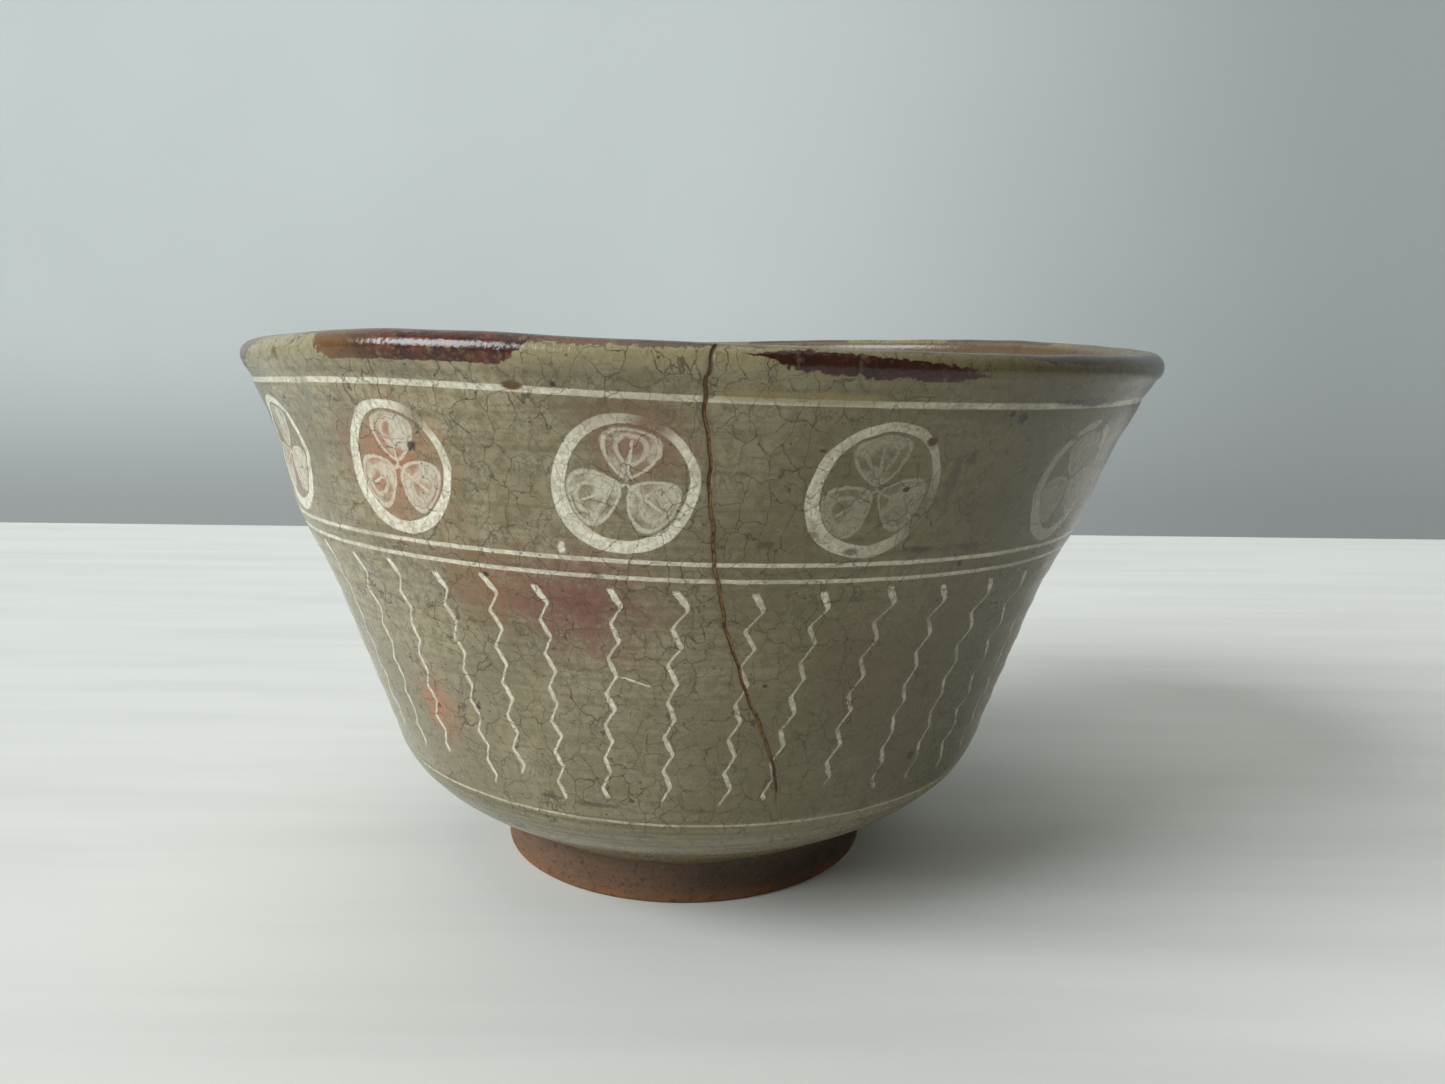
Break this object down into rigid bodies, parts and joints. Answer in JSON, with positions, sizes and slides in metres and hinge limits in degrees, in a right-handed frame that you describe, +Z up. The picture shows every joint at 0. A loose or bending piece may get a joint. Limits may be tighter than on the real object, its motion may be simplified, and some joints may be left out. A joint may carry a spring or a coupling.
{
  "type": "tea bowl",
  "caption": "Glazed stoneware tea bowl on a turned foot ring, with inlaid rings, roundels and wavy lines, and a long crack from the lip down the front.",
  "frame": {"origin": "on the table, under the middle of the bowl's outline seen from above", "axes": "+Z up, out of the mouth; -Y towards the front, where the crack runs down; +X to the right seen from the front"},
  "size_m": [0.1284, 0.1284, 0.0784],
  "materials": {
    "glazed_stoneware": "soft gloss glaze with fine crackle over white slip inlay"
  },
  "bodies": {
    "root": {"bowl": "glazed_stoneware"}
  },
  "joints": []
}
